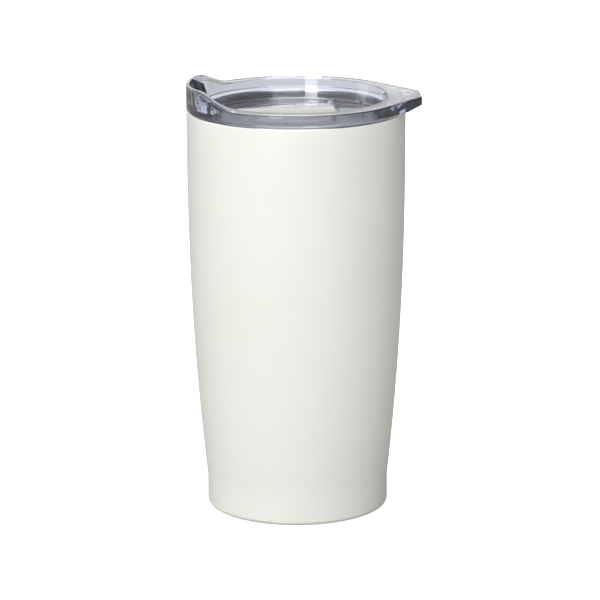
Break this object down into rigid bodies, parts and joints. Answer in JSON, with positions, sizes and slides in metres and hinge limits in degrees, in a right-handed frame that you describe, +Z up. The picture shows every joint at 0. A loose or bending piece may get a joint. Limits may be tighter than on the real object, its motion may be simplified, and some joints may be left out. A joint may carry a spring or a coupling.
{
  "type": "insulated tumbler with lid",
  "caption": "Double-walled steel tumbler with a clear push-on lid that has a drinking spout, a thumb tab and a flip-up closure.",
  "frame": {"origin": "on the tumbler's axis, in the plane it stands on, at the middle of the base pad", "axes": "+Z up along the tumbler's axis, +X towards the lid's thumb tab, -X towards its drinking spout"},
  "size_m": [0.0953, 0.089, 0.1768],
  "materials": {
    "paint": "smooth satin off-white powder coat",
    "liner_steel": "fine turned stainless steel",
    "plain_steel": "plain stainless sheet",
    "copper_foil": "bright copper foil",
    "sealing_glass": "dark fused sealing glass",
    "getter_metal": "sintered grey metal",
    "pad_rubber": "matte soft rubber with moulded rings",
    "clear_plastic": "polished clear copolyester with a faint blue tint",
    "clear_silicone": "translucent milky silicone"
  },
  "bodies": {
    "tumbler": {"outer_shell": "paint", "liner_wall": "liner_steel", "liner_floor": "liner_steel", "radiation_foil": "copper_foil", "vacuum_closure": "plain_steel", "evacuation_seal": "sealing_glass", "getter_pill": "getter_metal", "getter_clip": "plain_steel", "base_cap": "liner_steel", "base_pad": "pad_rubber"},
    "lid": {"lid_body": "clear_plastic", "lid_gasket": "clear_silicone"},
    "flap": {"closure_flap": "clear_plastic", "closure_seal": "clear_silicone"}
  },
  "joints": [
    {"name": "lid_lift", "type": "slide", "parent": "tumbler", "child": "lid", "axis": [0, 0, 1], "range_m": [0, 0.06]},
    {"name": "flap_hinge", "type": "hinge", "parent": "lid", "child": "flap", "pos_m": [0.0148, 0, 0.1647], "axis": [0, 1, 0], "range_deg": [0, 155]}
  ]
}
